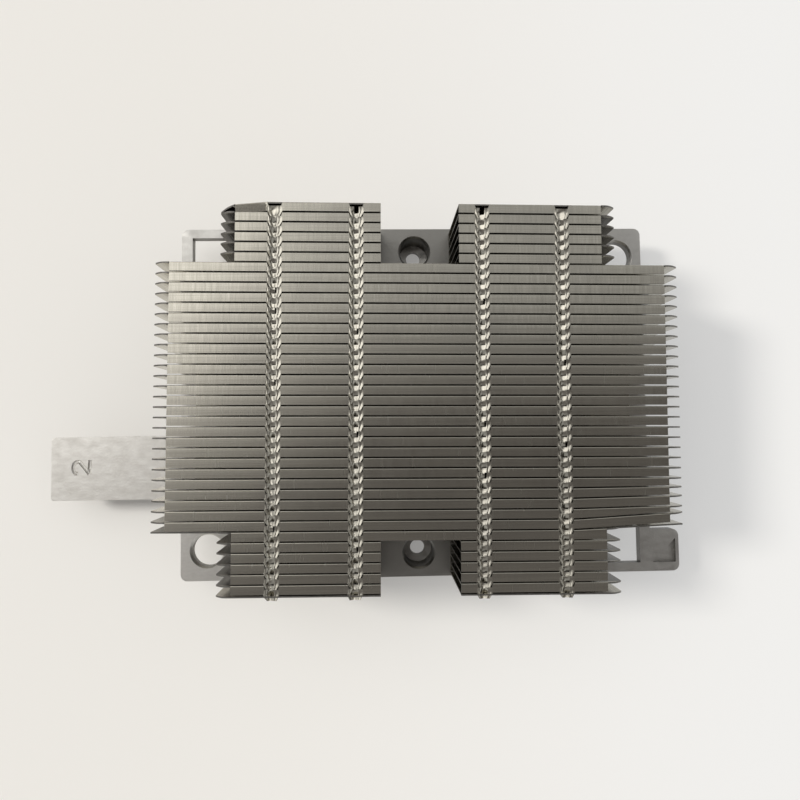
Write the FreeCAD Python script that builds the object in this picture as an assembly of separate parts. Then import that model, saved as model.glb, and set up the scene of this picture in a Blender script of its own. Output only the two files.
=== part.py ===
"""Passive low-profile processor heat sink: folded zipper fins on a die-cast base.

Frame: millimetres, +Z up, origin at the centre of the contact face under the base.
X runs along the fins, Y across them.  Row 1 of the fins is at the +Y edge.
"""
import FreeCAD, Part
import os
from FreeCAD import Vector

# ---- fin sheet and stack -------------------------------------------------
sheet = 0.4              # thickness of the fin strip
pitch = 2.0              # from one fin plate to the next
fin_height = 17.8        # from the deck to the top of the flanges
row_count = 39           # fin plates across the stack
short_rows = 6           # rows at each side that stop short of the screws
fin_clearance = 0.05     # flange edge to the next plate
fold_chamfer = 0.3       # outside of the top fold, as one flat
flange_half = 48.6       # middle of the stack to the flange end, long rows
block_setback = 12.5     # short rows' outer end, back from the long rows' end
notch_half = 7.7         # middle of the stack to the short rows' inner end
tip_overhang = 2.7       # plate past the end of its flange
nose = 0.9               # corner cut at the top of the overhang
stack_skew = -0.7        # degrees that the stack sits out of square on the base
stack_offset = -0.3      # middle of the stack along X, from the middle of the base

# ---- zipper: a tab on each flange locks in the next fin's notch ----------
zip_columns = (-28.4, -12.5, 12.3, 28.2)
tab_root_half = 1.45
tab_half = 1.15
tab_reach = 0.3          # past the inner face of the plate it passes over
zip_clearance = 0.12
stem_half = 0.7          # slot from the first row's open notches into their tabs
stem_depth = 2.13        # measured from the plate's outer face

# ---- damage ---------------------------------------------------------------
bent_from = 30.5         # last two long rows: right-hand ends pushed towards +Y
bent_slope = 0.062
droop_angle = 12.0       # first left fin: the outer part of its flange has sunk
curl_slope = 0.42        # first left fin: its overhang is curled inwards
torn_from_last = 2       # rows up from the last one: right-hand overhang broken off

# ---- die-cast base ----------------------------------------------------------
deck_margin = 1.0        # deck past the stack at the +Y and -Y edges
end_margin = 0.85        # deck past the fin tips
deck_thickness = 2.0
pedestal_length = 70.0
pedestal_width = 50.0
pedestal_depth = 5.7     # contact face to the underside of the deck
pedestal_chamfer = 0.6
corner_radius = 1.5

screw_inset = 5.3        # screw axis to the deck edge
screw_bore = 6.5         # counterbore for a spring screw
screw_chamfer = 0.45
screw_floor = 5.7        # counterbore depth
screw_hole = 3.3
boss_diameter = 10.2
boss_foot = 0.8          # boss end above the contact face

guide_hole = 6.9
guide_chamfer = 0.45
guide_from_end = 5.85    # hole axis to the deck end
guide_from_side = 6.55   # hole axis to the deck side

rim_end = 2.35           # deck left beside a corner window, at the deck end
rim_side = 1.95          # the same, at the deck side
window_length = 10.5
window_width = 15.0

ear_reach = 6.45         # ear past the deck end
ear_width = 9.3
mark_leg = 5.3           # corner mark, a sunk right-angled triangle
mark_depth = 0.7
mark_inset_end = 0.75
mark_inset_side = 1.95

tab_length = 28.0        # handling tab past the other end of the deck
tab_width = 13.85
tab_middle = -14.15
tab_thickness = 1.6
tab_corner = 0.8

# ---- worked out -------------------------------------------------------------
deck_top = pedestal_depth + deck_thickness
stack_half = (row_count - 1) * pitch / 2
deck_half_width = stack_half + deck_margin
deck_half_length = flange_half + tip_overhang + end_margin
block_half = flange_half - block_setback
last_long_row = row_count - short_rows
bent_rows = (last_long_row - 1, last_long_row)
torn_row = row_count - torn_from_last
flange_width = pitch - fin_clearance
notch_floor = sheet + tab_reach + zip_clearance
stem_columns = zip_columns[1:3]


def prism(points, z_low, z_high):
    """Upright solid on an outline of (x, y) points."""
    outline = [Vector(x, y, z_low) for x, y in points]
    face = Part.Face(Part.makePolygon(outline + outline[:1]))
    return face.extrude(Vector(0, 0, z_high - z_low))


def box(x_low, x_high, y_low, y_high, z_low, z_high):
    """Solid block between two corners."""
    corners = ((x_low, y_low), (x_high, y_low), (x_high, y_high), (x_low, y_high))
    return prism(corners, z_low, z_high)


def cylinder(diameter, x, y, z_low, z_high):
    """Upright round solid."""
    return Part.makeCylinder(diameter / 2, z_high - z_low, Vector(x, y, z_low))


def round_uprights(solid, places, radius):
    """Fillet the upright edges that pass through the given (x, y) places."""
    picked = []
    for edge in solid.Edges:
        first, last = edge.Vertexes[0].Point, edge.Vertexes[-1].Point
        upright = abs(first.x - last.x) + abs(first.y - last.y) < 1e-6
        if upright and any((Vector(x, y, first.z) - first).Length < 1e-4 for x, y in places):
            picked.append(edge)
    return solid.makeFillet(radius, picked)


def shift(x, bend):
    """Sideways shift at x of a plate bent past a line: (start, way along X, slope)."""
    if bend is None:
        return 0.0
    start, way, slope = bend
    return slope * max(0.0, way * (x - start))


def stations(x_low, x_high, bend):
    """The ends of a strip, with the bend line between them if it has one."""
    if bend is not None and x_low < bend[0] < x_high:
        return [x_low, bend[0], x_high]
    return [x_low, x_high]


def strip(x_low, x_high, y_outer, y_inner, z_low, z_high, bend=None):
    """Strip along X that kinks where the fin is bent."""
    along = stations(x_low, x_high, bend)
    outer = [(x, y_outer + shift(x, bend)) for x in along]
    inner = [(x, y_inner + shift(x, bend)) for x in reversed(along)]
    return prism(outer + inner, z_low, z_high)


def fold_cuts(x_low, x_high, bend):
    """Wedges that flatten the outside of the top fold."""
    along = stations(x_low, x_high, bend)
    cuts = []
    for start, end in zip(along, along[1:]):
        y = shift(start, bend)
        corner = Vector(start, y, fin_height)
        wedge = Part.Face(Part.makePolygon([
            corner, Vector(start, y - fold_chamfer, fin_height),
            Vector(start, y, fin_height - fold_chamfer), corner]))
        cuts.append(wedge.extrude(Vector(end - start, shift(end, bend) - y, 0)))
    return cuts


def nose_cut(tip, way):
    """Wedge that takes the top corner off an overhang; way points out of the plate."""
    corner = Vector(tip, -pitch, fin_height)
    inwards = Vector(tip - way * nose, -pitch, fin_height)
    below = Vector(tip, -pitch, fin_height - nose)
    return Part.Face(Part.makePolygon([corner, inwards, below, corner])).extrude(Vector(0, 2 * pitch, 0))


def zip_tab(x):
    """Tab that runs from a flange edge over the next plate."""
    end = -pitch - sheet - tab_reach
    outline = ((x - tab_root_half, -flange_width), (x - tab_half, end),
               (x + tab_half, end), (x + tab_root_half, -flange_width))
    return prism(outline, fin_height - sheet, fin_height)


def zip_notch(x, with_stem):
    """Notch through the fold for a tab, and the slot below it that makes the tab a loop."""
    taper = (tab_root_half - tab_half) / (sheet + tab_reach + fin_clearance)
    mouth = tab_root_half - taper * fin_clearance + zip_clearance
    waist = tab_half + zip_clearance
    outline = [(x - mouth, 0), (x - waist, -notch_floor)]
    if with_stem:
        outline += [(x - stem_half, -notch_floor), (x - stem_half, -stem_depth),
                    (x + stem_half, -stem_depth), (x + stem_half, -notch_floor)]
    outline += [(x + waist, -notch_floor), (x + mouth, 0)]
    return prism(outline, fin_height - sheet, fin_height)


def fin(flange, plate, flanged=True, bend=None, first=False, droop=0.0):
    """One folded fin, its outer face on Y = 0 and its foot on Z = 0.

    flange and plate are their (low, high) ends along X.  The plate's ends stand past
    the flange's, or level with them.
    """
    columns = [x for x in zip_columns if flange[0] < x < flange[1]]
    top = fin_height - sheet
    body = [strip(plate[0], plate[1], 0, -sheet, 0, fin_height, bend)]
    cuts = [zip_notch(x, first and x in stem_columns) for x in columns]
    cuts += [nose_cut(tip, way) for tip, root, way in zip(plate, flange, (-1, 1)) if tip != root]
    if flanged:
        level_from = flange[0]
        if droop:
            level_from = columns[0] + tab_root_half
            sunk = box(flange[0], columns[0] - tab_root_half, -flange_width, -sheet / 2, top, fin_height)
            sunk.rotate(Vector(0, 0, fin_height), Vector(1, 0, 0), droop)
            body += [sunk, box(columns[0] - tab_root_half, level_from, -flange_width,
                               -notch_floor, top, fin_height)]
        body.append(strip(level_from, flange[1], 0, -flange_width, top, fin_height, bend))
        body.append(strip(flange[0], flange[1], 0, -flange_width, 0, sheet, bend))
        body += [zip_tab(x) for x in columns]
        cuts += fold_cuts(flange[0], flange[1], bend)
    return body[0].fuse(body[1:]).cut(cuts).removeSplitter()


def make_room(solid, bend):
    """Flange edges folded out of the way where the next fin is pushed against them."""
    far = flange_half + tip_overhang
    pushed = prism(((bend[0], -flange_width), (far, shift(far, bend) - flange_width),
                    (far, -pitch)), -sheet, fin_height + sheet)
    return solid.cut(pushed).removeSplitter()


def place_fin(solid, row):
    """Move a fin to its row, then set the stack down skewed on the deck."""
    placed = solid.copy()
    placed.translate(Vector(0, stack_half - (row - 1) * pitch, 0))
    placed.rotate(Vector(0, 0, 0), Vector(0, 0, 1), stack_skew)
    placed.translate(Vector(stack_offset, 0, deck_top))
    return placed


def make_long_fins():
    """The fins that run the whole length, by node name."""
    flange = (-flange_half, flange_half)
    plate = (flange[0] - tip_overhang, flange[1] + tip_overhang)
    block = (-block_half, block_half)
    bend = (bent_from, 1, bent_slope)
    straight = fin(flange, plate)
    fins = {}
    for row in range(short_rows + 1, last_long_row + 1):
        solid = straight
        if row in bent_rows:
            solid = fin(block if row == last_long_row else flange, plate, bend=bend)
        elif row == last_long_row:
            solid = fin(block, plate)
        elif row + 1 in bent_rows:
            solid = make_room(straight, bend)
        fins["fin_%02d" % row] = place_fin(solid, row)
    return fins


def make_short_fins():
    """The fins on both sides of the screw notches, by node name."""
    left, right = (-block_half, -notch_half), (notch_half, block_half)
    left_plate, right_plate = (left[0] - tip_overhang, left[1]), (right[0], right[1] + tip_overhang)
    left_fin, right_fin = fin(left, left_plate), fin(right, right_plate)
    special = {
        (1, "left"): fin(left, left_plate, bend=(left[0], -1, -curl_slope), first=True, droop=droop_angle),
        (1, "right"): fin(right, right_plate, first=True),
        (torn_row, "right"): fin(right, right),
        (row_count, "left"): fin(left, left_plate, flanged=False),
        (row_count, "right"): fin(right, right_plate, flanged=False),
    }
    fins = {}
    for row in list(range(1, short_rows + 1)) + list(range(last_long_row + 1, row_count + 1)):
        for hand, plain in (("left", left_fin), ("right", right_fin)):
            solid = special.get((row, hand), plain)
            fins["fin_%02d_%s" % (row, hand)] = place_fin(solid, row)
    return fins


def make_base():
    """The die-cast base with its pedestal, bosses, guide holes, windows, ear and tab."""
    end, side = deck_half_length, deck_half_width
    underside = pedestal_depth
    deck = box(-end, end, -side, side, underside, deck_top)
    ear = box(end - corner_radius, end + ear_reach, -side, -side + ear_width, underside, deck_top)
    tab = box(-end - tab_length, -end + corner_radius, tab_middle - tab_width / 2,
              tab_middle + tab_width / 2, deck_top - tab_thickness, deck_top)
    deck = deck.fuse([ear, tab]).removeSplitter()
    deck = round_uprights(deck, ((end, side), (-end, side), (-end, -side), (end + ear_reach, -side),
                                 (end + ear_reach, -side + ear_width)), corner_radius)
    deck = round_uprights(deck, [(-end - tab_length, tab_middle + half * tab_width / 2)
                                 for half in (-1, 1)], tab_corner)
    pedestal = box(-pedestal_length / 2, pedestal_length / 2, -pedestal_width / 2,
                   pedestal_width / 2, 0, underside)
    pedestal = pedestal.makeChamfer(pedestal_chamfer, [edge for edge in pedestal.Edges
                                                       if edge.BoundBox.ZMax < 1e-6])
    screw_y = side - screw_inset
    guide = (end - guide_from_end, side - guide_from_side)
    bosses = [cylinder(boss_diameter, 0, way * screw_y, boss_foot, underside) for way in (-1, 1)]
    base = deck.fuse([pedestal] + bosses).removeSplitter()
    cuts = []
    for way in (-1, 1):
        y = way * screw_y
        cuts.append(cylinder(screw_bore, 0, y, deck_top - screw_floor, deck_top))
        cuts.append(cylinder(screw_hole, 0, y, 0, deck_top))
        cuts.append(Part.makeCone(screw_bore / 2, screw_bore / 2 + screw_chamfer, screw_chamfer,
                                  Vector(0, y, deck_top - screw_chamfer)))
        x, y = way * guide[0], way * guide[1]
        cuts.append(cylinder(guide_hole, x, y, underside, deck_top))
        cuts.append(Part.makeCone(guide_hole / 2, guide_hole / 2 + guide_chamfer, guide_chamfer,
                                  Vector(x, y, deck_top - guide_chamfer)))
        near_end, near_side = -way * (end - rim_end), way * (side - rim_side)
        x_low, x_high = sorted((near_end, near_end + way * window_length))
        y_low, y_high = sorted((near_side, near_side - way * window_width))
        cuts.append(box(x_low, x_high, y_low, y_high, underside, deck_top))
    mark_x = end + ear_reach - mark_inset_end
    mark_y = -side + mark_inset_side
    cuts.append(prism(((mark_x, mark_y), (mark_x, mark_y + mark_leg), (mark_x - mark_leg, mark_y)),
                      deck_top - mark_depth, deck_top))
    return base.cut(cuts)


os.makedirs("parts", exist_ok=True)
pieces = {"base_casting": make_base()}
pieces.update(make_long_fins())
pieces.update(make_short_fins())
for name, shape in pieces.items():
    shape.exportStep("parts/%s.step" % name)
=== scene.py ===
from collections import namedtuple
import math
import random

import bmesh
import bpy
from mathutils import Matrix, Vector


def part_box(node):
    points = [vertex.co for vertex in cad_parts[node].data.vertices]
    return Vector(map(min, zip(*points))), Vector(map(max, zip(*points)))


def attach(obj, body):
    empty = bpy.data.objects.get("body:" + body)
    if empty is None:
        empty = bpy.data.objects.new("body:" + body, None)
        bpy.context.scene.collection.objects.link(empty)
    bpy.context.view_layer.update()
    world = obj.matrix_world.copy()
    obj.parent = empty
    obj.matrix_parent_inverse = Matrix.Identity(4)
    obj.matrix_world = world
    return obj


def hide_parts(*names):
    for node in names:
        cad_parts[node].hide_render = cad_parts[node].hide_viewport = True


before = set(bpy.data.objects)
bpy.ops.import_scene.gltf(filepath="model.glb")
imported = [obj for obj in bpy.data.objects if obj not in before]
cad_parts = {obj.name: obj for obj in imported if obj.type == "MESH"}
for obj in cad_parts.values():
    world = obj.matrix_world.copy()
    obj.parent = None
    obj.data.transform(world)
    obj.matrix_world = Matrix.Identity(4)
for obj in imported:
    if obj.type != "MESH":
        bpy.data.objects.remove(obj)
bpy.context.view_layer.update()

scene = bpy.context.scene


# ---- Base casting -------------------------------------------------------------------
# One die-cast aluminium plate with a pedestal, two screw bosses, an ear and a long tab.
# Its edges are softened by the die and by tumbling, its skin is cloudy and a little
# rough, and a plain numeral is struck into the tab.
mm = 0.001                          # every length below is in millimetres
cast_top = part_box("fin_20")[0].z    # metres, where the fins' feet stand
cast_edge_round = 0.3
cast_sharp_angle = math.radians(35)
mark_from = 52.3                    # the ear's sunk triangle lies past this X
mark_depth = 0.85
mark_floor_band = (1.2, 0.1)        # depths between which the triangle's floor is found
numeral_depth = 0.4
numeral_rise = 0.04                 # middle of the cutting tube above the surface
numeral_strokes = (
    ((-74.57, -15.28), (-75.05, -15.14), (-75.36, -14.7), (-75.52, -14.1), (-75.5, -13.5),
     (-75.28, -12.98), (-74.87, -12.68), (-74.45, -12.58), (-74.1, -12.62), (-73.41, -13.5),
     (-72.64, -14.45), (-71.98, -15.36)),
    ((-71.98, -15.36), (-72.02, -14.4), (-71.94, -13.4), (-71.85, -12.3)),
)
cloud_greys = ((0.56, 0.545, 0.51), (0.72, 0.705, 0.665))
speck_grey = (0.66, 0.645, 0.61)
# mottled tab skin, lightened by a painted highlight
mottled_highlight_greys = ((0.84, 0.81, 0.75), (0.98, 0.955, 0.895))
highlight_along = (0.0, -55.0)         # the painted highlight grows between these X
highlight_across = (0.0, 30.0)         # and is weaker between these Y
# painted shade around the screws
screw_shade_grey = (0.30, 0.29, 0.265)
screw_shade_reach = (8.0, 16.0)            # the painted shade fades out between these distances in X
screw_shade_share = 0.75
# painted shade on the side walls and edges
wall_shade_grey = (0.15, 0.145, 0.135)
wall_shade_tilt = (0.3, 0.68)             # upward part of a side wall's normal, and of a flat's
wall_shade_share = 0.9
cast_roughness = (0.46, 0.34)
cast_grain_depth = 0.08


def metal(name, roughness=0.5):
    """A bare metal material, its node tree and its shader."""
    made = bpy.data.materials.new(name)
    made.use_nodes = True
    shader = made.node_tree.nodes["Principled BSDF"]
    shader.inputs["Metallic"].default_value = 1.0
    shader.inputs["Roughness"].default_value = roughness
    return made, made.node_tree, shader


def object_place(tree):
    """The place of a point in its object's own space."""
    return tree.nodes.new("ShaderNodeTexCoord").outputs["Object"]


def axes(tree, vector):
    """The X, Y and Z of a vector, by name."""
    node = tree.nodes.new("ShaderNodeSeparateXYZ")
    tree.links.new(vector, node.inputs[0])
    return node.outputs


def noise(tree, grains, detail=2.0, shift=None):
    """Noise in object space with its own number of grains a metre along each axis."""
    place = object_place(tree)
    if shift is not None:
        moved = tree.nodes.new("ShaderNodeVectorMath")
        tree.links.new(place, moved.inputs[0])
        tree.links.new(shift, moved.inputs[1])
        place = moved.outputs[0]
    scale = tree.nodes.new("ShaderNodeMapping")
    scale.inputs["Scale"].default_value = grains
    grain = tree.nodes.new("ShaderNodeTexNoise")
    grain.inputs["Scale"].default_value = 1.0
    grain.inputs["Detail"].default_value = detail
    tree.links.new(place, scale.inputs["Vector"])
    tree.links.new(scale.outputs["Vector"], grain.inputs["Vector"])
    return grain.outputs["Fac"]


def spread(tree, value, low, high, to_low, to_high):
    """A value stretched from one range to another, and held inside it."""
    node = tree.nodes.new("ShaderNodeMapRange")
    for socket, number in (("From Min", low), ("From Max", high),
                           ("To Min", to_low), ("To Max", to_high)):
        node.inputs[socket].default_value = number
    tree.links.new(value, node.inputs["Value"])
    return node.outputs["Result"]


def reckoned(tree, operation, *values):
    """What a Math operation makes of one or two values."""
    node = tree.nodes.new("ShaderNodeMath")
    node.operation = operation
    for value, socket in zip(values, node.inputs):
        tree.links.new(value, socket)
    return node.outputs[0]


def between(tree, value, first, second):
    """The colour part of the way from one colour to another."""
    node = tree.nodes.new("ShaderNodeMix")
    node.data_type = "RGBA"
    tree.links.new(value, node.inputs["Factor"])
    for socket, colour in ((6, first), (7, second)):
        if isinstance(colour, tuple):
            node.inputs[socket].default_value = (*colour, 1)
        else:
            tree.links.new(colour, node.inputs[socket])
    return node.outputs[2]


def bumped(tree, height, strength, distance):
    """A normal from a height pattern; distance is in metres."""
    node = tree.nodes.new("ShaderNodeBump")
    node.inputs["Strength"].default_value = strength
    node.inputs["Distance"].default_value = distance
    tree.links.new(height, node.inputs["Height"])
    return node.outputs["Normal"]


# the skin as cast: pale clouds and fine specks
cast_alloy, tree, shader = metal("cast_alloy")
spot = axes(tree, object_place(tree))
clouds = spread(tree, noise(tree, (160, 160, 160), 4), 0.35, 0.68, 0, 1)
specks = spread(tree, noise(tree, (900, 900, 900), 3), 0.4, 0.72, 0, 1)
colour = between(tree, clouds, *cloud_greys)
colour = between(tree, specks, colour, speck_grey)

# mottled towards the tab, and brighter there as a painted highlight of the window
mottle = spread(tree, noise(tree, (480, 800, 600), 6), 0.3, 0.7, 0, 1)
tabward = spread(tree, spot["X"], *(x * mm for x in highlight_along), 0.0, 1.0)
near_side = spread(tree, spot["Y"], *(y * mm for y in highlight_across), 1.0, 0.2)
painted_highlight = reckoned(tree, "MULTIPLY", tabward, near_side)
colour = between(tree, painted_highlight, colour, between(tree, mottle, *mottled_highlight_greys))

# painted shade around the screws, and painted shade on the side walls
from_middle = reckoned(tree, "ABSOLUTE", spot["X"])
screw_shade = spread(tree, from_middle, *(far * mm for far in screw_shade_reach), screw_shade_share, 0.0)
colour = between(tree, screw_shade, colour, screw_shade_grey)
turned = axes(tree, tree.nodes.new("ShaderNodeNewGeometry").outputs["Normal"])
# the less a face looks up, the more painted shade it gets
wall_shade = spread(tree, turned["Z"], *wall_shade_tilt, wall_shade_share, 0.0)
colour = between(tree, wall_shade, colour, wall_shade_grey)

tree.links.new(colour, shader.inputs["Base Color"])
tree.links.new(spread(tree, mottle, 0, 1, *cast_roughness), shader.inputs["Roughness"])
cast_grain = noise(tree, (2200, 2200, 2200), 4)
tree.links.new(bumped(tree, cast_grain, 0.35, cast_grain_depth * mm), shader.inputs["Normal"])


def dress(name, mesh, finishes, node):
    """A finished piece on the one rigid body, in place of a node's solid."""
    piece = bpy.data.objects.new(name, mesh)
    scene.collection.objects.link(piece)
    for finish in finishes:
        mesh.materials.append(finish)
    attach(piece, "root")
    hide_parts(node)
    return piece


def even_shading(piece):
    """Normals that keep the broad faces flat and turn only across the small ones."""
    weighted = piece.modifiers.new("even_shading", "WEIGHTED_NORMAL")
    weighted.mode = "FACE_AREA"
    weighted.weight = 60
    weighted.keep_sharp = True


def smooth(mesh, sharp_angle):
    """Smooth shading that keeps the edges sharper than an angle."""
    mesh.shade_smooth()
    mesh.set_sharp_from_angle(angle=sharp_angle)


def shown(name, data):
    """An object linked into the scene; the working ones are taken out again once they are used.
    """
    made = bpy.data.objects.new(name, data)
    scene.collection.objects.link(made)
    return made


def finished_mesh(worked):
    """A working object's mesh with its modifiers applied."""
    return bpy.data.meshes.new_from_object(
        worked.evaluated_get(bpy.context.evaluated_depsgraph_get()))


# the ear's triangle is sunk deeper, then every edge is rounded
bm = bmesh.new()
bm.from_mesh(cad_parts["base_casting"].data)
bmesh.ops.remove_doubles(bm, verts=bm.verts, dist=1e-6)
deepest, highest = (cast_top - depth * mm for depth in mark_floor_band)
for vert in bm.verts:
    if vert.co.x > mark_from * mm and deepest < vert.co.z < highest:
        vert.co.z = cast_top - mark_depth * mm
corners = [edge for edge in bm.edges
           if edge.is_manifold and edge.calc_face_angle() > cast_sharp_angle]
bmesh.ops.bevel(bm, geom=corners, offset=cast_edge_round * mm, offset_type="OFFSET",
                segments=3, profile=0.5, affect="EDGES", material=-1, clamp_overlap=True)
cast_mesh = bpy.data.meshes.new("base_body")
bm.to_mesh(cast_mesh)
bm.free()

# the numeral is cut by a tube that follows its strokes
groove = bpy.data.curves.new("numeral_groove", "CURVE")
groove.dimensions = "3D"
groove.bevel_depth = numeral_depth * mm
groove.bevel_resolution = 3
groove.use_fill_caps = True
for stroke in numeral_strokes:
    spline = groove.splines.new("NURBS")
    spline.points.add(len(stroke) - 1)
    for point, (x, y) in zip(spline.points, stroke):
        point.co = (x * mm, y * mm, cast_top + numeral_rise * mm, 1)
    spline.order_u = 3
    spline.use_endpoint_u = True
tube = shown("numeral_groove", groove)
cutter = shown("numeral_cutter", finished_mesh(tube))
bpy.data.objects.remove(tube)
blank = shown("base_blank", cast_mesh)
strike = blank.modifiers.new("numeral", "BOOLEAN")
strike.operation = "DIFFERENCE"
strike.solver = "EXACT"
strike.use_self = True
strike.object = cutter
base_mesh = finished_mesh(blank)
for spare in (blank, cutter):
    bpy.data.objects.remove(spare)
base_mesh.materials.clear()
smooth(base_mesh, cast_sharp_angle)
even_shading(dress("base", base_mesh, [cast_alloy], "base_casting"))


# ---- Folded fins ----------------------------------------------------------------------
# Each fin is one punched strip of rolled aluminium, folded at its foot and its top and
# soldered to the base. Loops on its top flange reach into the next plate's notches and
# are dished down there to lock, and the whole stack sits a little out of square.
sheet = 0.3
pitch = 2.0
fin_height = 17.8
row_count = 39
short_rows = 6                      # rows at each side that stop short of the screws
last_long_row = row_count - short_rows
flange_width = 1.76
flange_half = 48.6                  # middle of the stack to a long flange's end
block_half = 36.1                   # middle of the stack to a short flange's outer end
notch_half = 7.7                    # middle of the stack to a short flange's inner end
tip_overhang = 3.0                  # bare plate past the end of its flange
tip_stations = (0.5, 0.9, 1.3, 1.7, 2.1, 2.5, 2.8)
nose = 1.15                         # how far the overhang's top corner is rounded down
nose_from = 0.9                     # and from where, past the flange
nose_curve = 1.7
stack_half = (row_count - 1) * pitch / 2
stack_turn = math.radians(-0.7)
stack_offset = -0.3

fold_round = 0.2
fold_steps = 4
fold_low = fin_height - fold_round
foot_round = 0.35
foot_steps = 2
foot_zone = 5.0                     # below this height a strip's bend is its foot
flange_lines = (0.8, 1.15, 1.5, 1.67)
fin_sharp_angle = math.radians(40)
touch = 1e-4                        # points nearer than this are the same
face_touch = 0.01                   # the same for the middles of faces
side_touch = 0.1                    # the same along a fin, where points are far apart
gap = 0.02                          # width of the cut where a flange ends
tip_keep = 0.25                     # depth of the bend that an overhang keeps

zip_columns = (-28.4, -12.5, 12.3, 28.2)
loop_root = 1.5                     # half the width of a loop where it leaves the flange
loop_reach = (0.33, 0.56, 0.86, 1.14)
loop_taper = 0.36
loop_lean = 0.03                    # most that a loop goes sideways for each mm of reach
tongue_steps = ((0.16, -0.04, 1.7), (0.5, -0.16, 2.05), (1.0, -0.4, 2.15))
tongue_slack = 0.06
notch_floor = 0.8                   # how deep a notch is punched into the flange
notch_mouth = 1.42                  # half its width at the fold
notch_waist = 1.25                  # half its width at its floor
notch_turn = 0.4                    # depth where the mouth gives way to the waist
notch_drop = 0.5                    # how far the plate is cut down under a notch
hole_half = 0.5
dish_across = ((-1.5, 0.0), (-1.35, 0.14), (-1.15, 0.04), (-0.95, 0.1), (-0.7, 0.5),
               (-0.45, 0.52), (0.0, 0.34), (0.5, 0.14), (0.75, 0.06), (0.95, 0.14),
               (1.2, 0.04), (1.5, 0.0))
dish_along = ((-2.93, 0.8), (-2.65, 0.95), (-2.35, 1.0), (-1.55, 1.0), (-1.15, 0.7),
              (-0.8, 0.15))

sunk_length = 5.9                   # the first left flange has sunk over this length
sunk_parts = (0.25, 0.5, 0.75, 1.0, 1.02)
sunk_slope = 0.21
sunk_lean = 0.55

shift_attribute = "sheet_shift"     # moves the rolling grain from strip to strip
end_shade_attribute = "painted_end_shade"      # which plate ends get painted shade
end_shade_from = 40.0                   # on long fins, past this distance from the middle
last_rows_end_shade = 0.6

flange_long = (-flange_half, flange_half)
plate_long = (-flange_half - tip_overhang, flange_half + tip_overhang)
Fin = namedtuple("Fin", "row flange plate flanged first sunk bend trim",
                 defaults=(True, False, False, None, None))


def columns_of(fin):
    """The zipper columns that a fin's flange crosses."""
    return [x for x in zip_columns if fin.flange[0] < x < fin.flange[1]]


def nearest_column(fin, x):
    """The zipper column that is nearest to x."""
    return min(columns_of(fin), key=lambda column: abs(column - x))


def bend_at(x, bend):
    """Sideways shift at x of a fin bent past a line: (start, way along X, slope)."""
    if bend is None:
        return 0.0
    start, way, slope = bend
    return slope * max(0.0, way * (x - start))


def nose_drop(beyond):
    """How far an overhang's top edge has rounded down at a distance past the flange."""
    along = min(1.0, max(0.0, (beyond - nose_from) / (tip_overhang - nose_from)))
    return nose * along ** nose_curve


def read_off(table, value):
    """The number that a table of (position, number) pairs gives at a position."""
    for (low, first), (high, second) in zip(table, table[1:]):
        if value <= high:
            return first + (second - first) * max(0.0, value - low) / (high - low)
    return table[-1][1]


def dish(dx, y):
    """How far a loop is pressed down at a place, from its column's middle and the fold."""
    across = dx / (1 - loop_taper * max(0.0, -y - flange_width))
    return read_off(dish_across, across) * read_off(dish_along, y)


def stations_of(fin):
    """The places along X where a fin's strip has a line of points."""
    stations = {*fin.plate, *fin.flange}
    for tip, root, way in zip(fin.plate, fin.flange, (-1, 1)):
        if tip != root:
            stations |= {root + way * far for far in (gap, *tip_stations)}
    for x in columns_of(fin):
        stations |= {x + dx for dx, depth in dish_across}
    for bent in (fin.bend, fin.trim):
        if bent is not None:
            stations.add(bent[0])
    if fin.sunk:
        stations |= {fin.flange[0] + part * sunk_length for part in sunk_parts}
    return sorted(stations)


def rolled_profile(bm, x, flanged):
    """The strip's outer line at one end, from its foot edge to its top edge."""
    corners = [(-flange_width, 0), (0, 0), (0, fin_height), (-flange_width, fin_height)]
    if not flanged:
        corners = [(0, 0), (0, fold_low), (0, fin_height)]
    points = [bm.verts.new((x, y, z)) for y, z in corners]
    for pair in zip(points, points[1:]):
        bm.edges.new(pair)
    if not flanged:
        return
    for corner, radius, steps in ((points[2], fold_round, fold_steps),
                                  (points[1], foot_round, foot_steps)):
        bmesh.ops.bevel(bm, geom=[corner], offset=radius, offset_type="OFFSET",
                        segments=steps, profile=0.5, affect="VERTICES", material=-1)
    for line in flange_lines:
        flange = next(edge for edge in bm.edges
                      if all(vert.co.z > fin_height - touch for vert in edge.verts)
                      and min(vert.co.y for vert in edge.verts) < -line
                      and max(vert.co.y for vert in edge.verts) > -line)
        made = bmesh.ops.subdivide_edges(bm, edges=[flange], cuts=1)
        for vert in made["geom_inner"]:
            if isinstance(vert, bmesh.types.BMVert):
                vert.co.y = -line


def pulled_on(bm, line):
    """The edges at the far end of a row of faces pulled out of a line, and their points."""
    made = bmesh.ops.extrude_edge_only(bm, edges=line)["geom"]
    points = {item for item in made if isinstance(item, bmesh.types.BMVert)}
    return points, [item for item in made if isinstance(item, bmesh.types.BMEdge)
                    and item.verts[0] in points and item.verts[1] in points]


def roll_strip(bm, fin):
    """Pulls the strip's outer line along its stations."""
    stations = stations_of(fin)
    rolled_profile(bm, stations[0], fin.flanged)
    line = list(bm.edges)
    for x in stations[1:]:
        points, line = pulled_on(bm, line)
        for point in points:
            point.co.x = x


def punch_fold(bm, fin):
    """Leaves the overhangs as bare plate, and punches the notches out of the fold."""
    gone = []
    for face in bm.faces:
        x, y, z = face.calc_center_median()
        near = abs(x - nearest_column(fin, x))
        if x < fin.flange[0] or x > fin.flange[1]:
            foot_bend = fin.flanged and y < -face_touch and z < foot_zone
            if y < -tip_keep or foot_bend:
                gone.append(face)
        elif fin.flanged and z > fold_low and y > -notch_floor and near < loop_root:
            gone.append(face)
    bmesh.ops.delete(bm, geom=gone, context="FACES")


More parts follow.
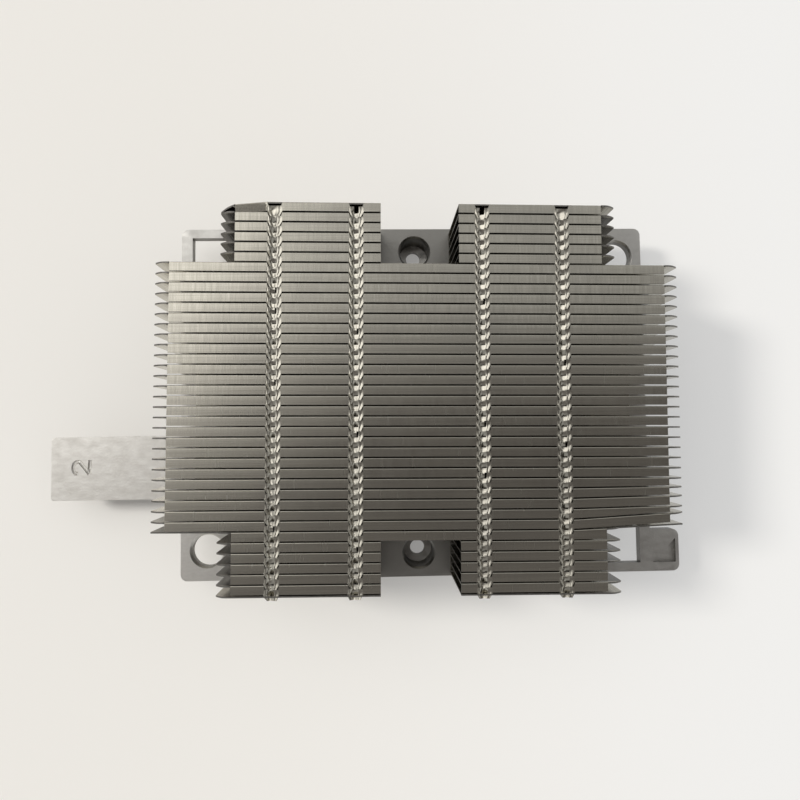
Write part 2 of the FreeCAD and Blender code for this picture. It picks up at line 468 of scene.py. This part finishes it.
def reach_over(bm, fin, column, lean):
    """Pulls a loop from the flange's edge over the next plate, and its tongue."""
    line = [edge for edge in bm.edges if edge.is_boundary
            and all(abs(vert.co.y + flange_width) < touch and vert.co.z > fin_height - touch
                    and abs(vert.co.x - column) < loop_root + touch for vert in edge.verts)]
    last_wide = 1.0
    for reach in loop_reach:
        wide = 1 - loop_taper * reach
        points, line = pulled_on(bm, line)
        for point in points:
            point.co.x = column + (point.co.x - column) * wide / last_wide + lean * reach
            point.co.y = -flange_width - reach
        last_wide = wide
    if fin.row == row_count - 1:
        return
    half = hole_half * last_wide + tongue_slack
    line = [edge for edge in line if all(abs(vert.co.x - column) < half for vert in edge.verts)]
    inner = sorted({vert: vert.co.x - column for edge in line for vert in edge.verts}.values())
    for reach, fall, wide in tongue_steps:
        points, line = pulled_on(bm, line)
        for point, dx in zip(sorted(points, key=lambda vert: vert.co.x), inner):
            point.co = (column + dx * wide, -flange_width - loop_reach[-1] - reach,
                        fin_height + fall)


def pierce_loops(bm, fin):
    """Punches the hole in each loop; the first fins' outer loops have none."""
    gone = []
    for face in bm.faces:
        x, y, z = face.calc_center_median()
        column = nearest_column(fin, x)
        closed = fin.first and column not in zip_columns[1:3]
        in_loop = -flange_width - loop_reach[0] < y < -notch_floor
        if z > fin_height - touch and in_loop and abs(x - column) < hole_half and not closed:
            gone.append(face)
    bmesh.ops.delete(bm, geom=gone, context="FACES")


def press_shape(bm, fin):
    """Narrows the notches, dishes the loops, rounds the tips and puts in the damage."""
    for point in bm.verts:
        x, y, z = point.co
        dx = x - nearest_column(fin, x)
        at_top = z > fold_low - touch
        if fin.flanged and at_top:
            if y > -notch_floor - touch and abs(abs(dx) - loop_root) < touch:
                half = notch_mouth if y > -notch_turn else notch_waist
                point.co.x -= math.copysign(loop_root - half, dx)
            elif (y > -face_touch and z < fold_low + touch
                  and abs(dx) < loop_root - side_touch and not fin.first):
                point.co.z -= notch_drop
        if (fin.flanged and y < -notch_floor + face_touch and z > foot_zone
                and abs(dx) < loop_root + side_touch):
            point.co.z -= dish(dx, y)
        beyond = max(fin.flange[0] - x, x - fin.flange[1]) if fin.plate != fin.flange else 0.0
        if beyond > gap / 2 and at_top:
            if y < 0:
                along = math.asin(min(1.0, -y / fold_round))
                point.co.y = 0.0
                point.co.z = fold_low + fold_round * 2 * along / math.pi
            point.co.z -= nose_drop(beyond)
        sunk_to = fin.flange[0] + sunk_length
        if fin.sunk and x < sunk_to + touch and at_top:
            point.co.z -= sunk_slope * max(0.0, -y)
            point.co.y -= sunk_lean * min(1.0, (sunk_to - x) / sunk_length)
        if fin.trim is not None and x > fin.trim[0]:
            point.co.y = max(point.co.y, bend_at(x, fin.trim) - flange_width)
    for point in bm.verts:
        push = bend_at(point.co.x, fin.bend)
        if fin.row == last_long_row and point.co.x < fin.flange[1] + gap / 2:
            push *= 1 + point.co.y / flange_width
        point.co.y += push


def end_shade_at(fin, x):
    """How much painted shade a fin's plate gets at x, from 0 to 1."""
    far = abs(x)
    if fin.plate != plate_long:
        at_end = far < notch_half + side_touch or far > block_half - side_touch
        return 1.0 if at_end and 1 < fin.row < row_count else 0.0
    if x < -flange_half and fin.row >= last_long_row - 1:
        return last_rows_end_shade
    inside = end_shade_from < far < flange_half + gap / 2
    return 1.0 if inside and short_rows + 1 < fin.row < last_long_row else 0.0


def set_in_stack(bm, fin):
    """Turns a fin's faces outwards, and sets it in its row on the base, in metres."""
    bmesh.ops.recalc_face_normals(bm, faces=bm.faces)
    plate_face = max(bm.faces, key=lambda face: face.calc_area())
    if plate_face.normal.y < 0:
        bmesh.ops.reverse_faces(bm, faces=bm.faces)
    row_y = stack_half - (fin.row - 1) * pitch
    bmesh.ops.translate(bm, verts=bm.verts, vec=(0, row_y, 0))
    bmesh.ops.rotate(bm, verts=bm.verts, cent=(0, 0, 0),
                     matrix=Matrix.Rotation(stack_turn, 3, "Z"))
    bmesh.ops.scale(bm, verts=bm.verts, vec=(mm, mm, mm))
    bmesh.ops.translate(bm, verts=bm.verts, vec=(stack_offset * mm, 0, cast_top))


def fin_mesh(name, fin):
    """One folded fin in its row, as an outer skin that is given its thickness later."""
    dice = random.Random(fin.row * 7 + (3 if fin.flange[0] > 0 else 0))
    bm = bmesh.new()
    roll_strip(bm, fin)
    punch_fold(bm, fin)
    if fin.flanged:
        for column in columns_of(fin):
            reach_over(bm, fin, column, dice.uniform(-loop_lean, loop_lean))
        pierce_loops(bm, fin)
    press_shape(bm, fin)
    end_shaded = bm.verts.layers.float.new(end_shade_attribute)
    for point in bm.verts:
        point[end_shaded] = end_shade_at(fin, point.co.x)
    set_in_stack(bm, fin)
    mesh = bpy.data.meshes.new(name)
    bm.to_mesh(mesh)
    bm.free()
    shift = mesh.attributes.new(shift_attribute, "FLOAT", "POINT")
    shift.data.foreach_set("value", [dice.random()] * len(mesh.vertices))
    smooth(mesh, fin_sharp_angle)
    return mesh


# rolled faces: a fine grain and faint lines along the strip, and pale stains
rolled_greys = ((0.555, 0.53, 0.455), (0.655, 0.625, 0.54))
rolling_line_grey = (0.465, 0.44, 0.38)
stain_grey = (0.48, 0.455, 0.40)
# painted shade between the plates, at their marked ends
end_shade_grey = (0.10, 0.097, 0.09)
end_shade_share = 0.92
end_shade_under_top = (0.75, 0.25)      # it fades out between these depths below the flanges
end_shade_over_foot = (0.4, 1.2)        # and between these heights over the base
rolled_roughness = (0.28, 0.19)
rolled_grain_depth = 0.02
# dark rim colours, partly painted shade
sheared_shade_greys = ((0.17, 0.16, 0.145), (0.30, 0.29, 0.265))
sheared_roughness = 0.5

rolled, tree, shader = metal("rolled_sheet")
row_mark = tree.nodes.new("ShaderNodeAttribute")
row_mark.attribute_name = shift_attribute
row_shift = tree.nodes.new("ShaderNodeCombineXYZ")
tree.links.new(row_mark.outputs["Fac"], row_shift.inputs["X"])
grain = noise(tree, (2600, 60, 60), 3, row_shift.outputs[0])
rolling = noise(tree, (45, 5500, 45), 3, row_shift.outputs[0])
fine = noise(tree, (7000, 500, 500), 2, row_shift.outputs[0])
stain = noise(tree, (70, 90, 70), 4)
colour = between(tree, spread(tree, grain, 0.3, 0.7, 0, 1), *rolled_greys)
colour = between(tree, spread(tree, rolling, 0.42, 0.66, 0, 0.5), colour, rolling_line_grey)
colour = between(tree, spread(tree, stain, 0.45, 0.7, 0, 0.5), colour, stain_grey)

# painted shade on the marked ends, below the fold and above the foot
fin_top = cast_top + fin_height * mm
level = axes(tree, object_place(tree))["Z"]
below_fold = spread(tree, level, *(fin_top - depth * mm for depth in end_shade_under_top),
                    end_shade_share, 0.0)
above_foot = spread(tree, level, *(cast_top + rise * mm for rise in end_shade_over_foot), 0.0, 1.0)
end_shade_mark = tree.nodes.new("ShaderNodeAttribute")
end_shade_mark.attribute_name = end_shade_attribute
end_shade = reckoned(tree, "MULTIPLY", below_fold, end_shade_mark.outputs["Fac"])
end_shade = reckoned(tree, "MULTIPLY", end_shade, above_foot)
colour = between(tree, end_shade, colour, end_shade_grey)

tree.links.new(colour, shader.inputs["Base Color"])
tree.links.new(spread(tree, grain, 0.25, 0.75, *rolled_roughness), shader.inputs["Roughness"])
tree.links.new(bumped(tree, fine, 0.25, rolled_grain_depth * mm), shader.inputs["Normal"])

# sheared rims: dull and coarse, and darkened with painted shade
sheared_and_shaded, tree, shader = metal("sheared_shaded_edge", sheared_roughness)
burr = spread(tree, noise(tree, (5000, 5000, 3000), 3), 0.35, 0.65, 0, 1)
tree.links.new(between(tree, burr, *sheared_shade_greys), shader.inputs["Base Color"])

# the long fins; the right-hand ends of the last ones have been pushed in
pushed_from = 30.5
pushed_slopes = {29: 0.013, 30: 0.026, 31: 0.026, 32: 0.062, 33: 0.046}
trimmed_slopes = {28: 0.013, 29: 0.013, 31: 0.036}


def pushed(row, slopes):
    """How a row's right-hand end is bent or trimmed, from a table of slopes."""
    return (pushed_from, 1, slopes[row]) if row in slopes else None


fins = {}
for row in range(short_rows + 1, last_long_row + 1):
    flange = (-block_half, block_half) if row == last_long_row else flange_long
    fins["fin_%02d" % row] = Fin(row, flange, plate_long, bend=pushed(row, pushed_slopes),
                                 trim=pushed(row, trimmed_slopes))

# the short fins; the first left one is curled, and one right overhang is broken off
left_flange, right_flange = (-block_half, -notch_half), (notch_half, block_half)
curled = (-block_half, -1, -0.42)
torn_row = row_count - 2
for row in [*range(1, short_rows + 1), *range(last_long_row + 1, row_count + 1)]:
    first, flanged = row == 1, row < row_count
    right_tip = block_half + (0 if row == torn_row else tip_overhang)
    fins["fin_%02d_left" % row] = Fin(
        row, left_flange, (-block_half - tip_overhang, -notch_half), flanged, first,
        sunk=first, bend=curled if first else None)
    fins["fin_%02d_right" % row] = Fin(row, right_flange, (notch_half, right_tip), flanged, first)

# each skin gets the strip's thickness, with sheared rims
for name, fin in fins.items():
    skin = shown("fin_skin", fin_mesh(name, fin))
    for finish in (rolled, sheared_and_shaded):
        skin.data.materials.append(finish)
    wall = skin.modifiers.new("sheet", "SOLIDIFY")
    wall.thickness = sheet * mm
    wall.offset = -1
    wall.use_even_offset = True
    wall.material_offset_rim = 1
    solid = finished_mesh(skin)
    bpy.data.objects.remove(skin)
    smooth(solid, fin_sharp_angle)
    even_shading(dress("visual_" + name, solid, [], name))


# ---- Table ------------------------------------------------------------------------------
# A painted table top, large and plain, a hair under the pedestal. A painted glow makes it a
# little brighter on the right than its paint alone would be, warm on the left and cool on the
# right, and it takes the object's shadow.
table_size = 3.0
table_level = -0.05
table_colour = (0.93, 0.91, 0.87, 1)
table_roughness = 0.7
glow_colours = ((0.90, 0.86, 0.80), (0.94, 0.96, 0.98))
glow_turn = (-90.0, 90.0)           # the first colour turns into the second between these X
glow_rise = (-60.0, 50.0)           # the share of glow grows between these X
glow_shares = (0.08, 0.42)

bm = bmesh.new()
bmesh.ops.create_grid(bm, x_segments=2, y_segments=2, size=table_size)
bmesh.ops.translate(bm, verts=bm.verts, vec=(0, 0, table_level * mm))
table_mesh = bpy.data.meshes.new("table_top")
bm.to_mesh(table_mesh)
bm.free()
table = shown("table_top", table_mesh)

paint = bpy.data.materials.new("table_paint")
paint.use_nodes = True
tree = paint.node_tree
shader = tree.nodes["Principled BSDF"]
shader.inputs["Base Color"].default_value = table_colour
shader.inputs["Roughness"].default_value = table_roughness
across = axes(tree, object_place(tree))["X"]
# painted light: a glow seen by camera and glossy rays, growing towards the right
rays = tree.nodes.new("ShaderNodeLightPath")
seen = reckoned(tree, "MAXIMUM", rays.outputs["Is Camera Ray"], rays.outputs["Is Glossy Ray"])
rise = spread(tree, across, *(x * mm for x in glow_rise), *glow_shares)
share = reckoned(tree, "MULTIPLY", seen, rise)
glow = tree.nodes.new("ShaderNodeEmission")
turn = spread(tree, across, *(x * mm for x in glow_turn), 0, 1)
tree.links.new(between(tree, turn, *glow_colours), glow.inputs["Color"])
blend = tree.nodes.new("ShaderNodeMixShader")
tree.links.new(share, blend.inputs["Fac"])
tree.links.new(shader.outputs[0], blend.inputs[1])
tree.links.new(glow.outputs[0], blend.inputs[2])
tree.links.new(blend.outputs[0], tree.nodes["Material Output"].inputs["Surface"])
table_mesh.materials.append(paint)


# ---- Light ------------------------------------------------------------------------------
# A dim room with a soft window high on the left, and pale walls low down. One soft lamp
# stands for the window's direct light; it isn't mirrored in the metal, the window is.
ceiling_stops = ((0.0, 0.20), (0.3, 0.13), (0.4, 0.095), (0.5, 0.087), (0.57, 0.105),
                 (0.63, 0.15), (0.69, 0.42), (0.74, 0.47), (1.0, 0.47))
ceiling_warmth = 0.1
window_stops = ((0.72, 0.0), (0.8, 0.08), (0.86, 0.14), (0.88, 0.28), (0.9, 0.42),
                (0.915, 0.58), (0.93, 0.76), (0.944, 0.92), (0.96, 1.0))
window_way = (-0.6, 0.35, 0.72)
window_colour = (1.62, 1.6, 1.58)
wall_stops = ((0.0, 0.35), (0.5, 0.42), (0.7, 0.5), (1.0, 0.5))
low_wall_way = (-0.5, 0.85, 0)
low_wall_greys = ((0.6, 0.6, 0.6), (0.12, 0.12, 0.12))
backdrop_colour = (0.84, 0.83, 0.81)
lamp_angle = math.radians(12)
lamp_energy = 2.15
lamp_colour = (1.0, 0.98, 0.94)
lamp_place = (-0.93, 0.25, 0.69)    # metres; only its direction counts

world = bpy.data.worlds.new("room")
scene.world = world
world.use_nodes = True
room = world.node_tree
sky = room.nodes["Background"]
sky.inputs["Strength"].default_value = 1.0
aim = room.nodes.new("ShaderNodeTexCoord").outputs["Generated"]


def facing(direction):
    """How far the room's direction faces a given one."""
    node = room.nodes.new("ShaderNodeVectorMath")
    node.operation = "DOT_PRODUCT"
    node.inputs[1].default_value = Vector(direction).normalized()
    room.links.new(aim, node.inputs[0])
    return node.outputs["Value"]


def stepped(value, stops, warmth=0.0):
    """A brightness read in straight lines from (position, level) stops, dark ones warmer."""
    node = room.nodes.new("ShaderNodeValToRGB")
    while len(node.color_ramp.elements) < len(stops):
        node.color_ramp.elements.new(0.5)
    for element, (position, level) in zip(node.color_ramp.elements, stops):
        element.position = position
        warm = warmth * max(0.0, 1 - level / 0.4)
        element.color = (level * (1 + warm), level, level * (1 - warm / 2), 1)
    room.links.new(value, node.inputs["Fac"])
    return node.outputs["Color"]


up = facing((0, 0, 1))
far_wall = spread(room, facing((0, 1, 0)), -0.5, 0.5, 0, 1)
sky_colour = between(room, spread(room, up, 0.82, 0.68, 0, 1),
                     stepped(far_wall, ceiling_stops, ceiling_warmth),
                     stepped(far_wall, wall_stops))
sky_colour = between(room, stepped(facing(window_way), window_stops), sky_colour, window_colour)
low_wall = between(room, spread(room, facing(low_wall_way), 0.0, 0.6, 0, 1), *low_wall_greys)
sky_colour = between(room, spread(room, up, 0.5, 0.35, 0, 1), sky_colour, low_wall)
camera_ray = room.nodes.new("ShaderNodeLightPath").outputs["Is Camera Ray"]
sky_colour = between(room, camera_ray, sky_colour, backdrop_colour)
room.links.new(sky_colour, sky.inputs["Color"])

lamp_data = bpy.data.lights.new("window", "SUN")
lamp_data.angle = lamp_angle
lamp_data.energy = lamp_energy
lamp_data.color = lamp_colour
lamp = shown("window", lamp_data)
lamp.visible_glossy = False
lamp.location = lamp_place
lamp.rotation_euler = (-lamp.location).to_track_quat("-Z", "Y").to_euler()


# ---- Camera ---------------------------------------------------------------------------
# A wide lens close above the middle of the object, a hand's width over the fins, looking
# down with a slight tilt.
camera_lens = 26.1
camera_sensor = 36
camera_place = (-8.11, -6.33, 137.58)
camera_axes = ((0.99935, -0.01402, 0.03332), (0.01235, 0.99869, 0.04974),
               (-0.03398, -0.0493, 0.99821))

camera_data = bpy.data.cameras.new("camera")
camera_data.sensor_width = camera_sensor
camera_data.lens = camera_lens
camera_data.clip_start = 5 * mm
camera = shown("camera", camera_data)
camera.matrix_world = (Matrix.Translation(Vector(camera_place) * mm)
                       @ Matrix(camera_axes).transposed().to_4x4())
scene.camera = camera
scene.view_settings.view_transform = "Standard"
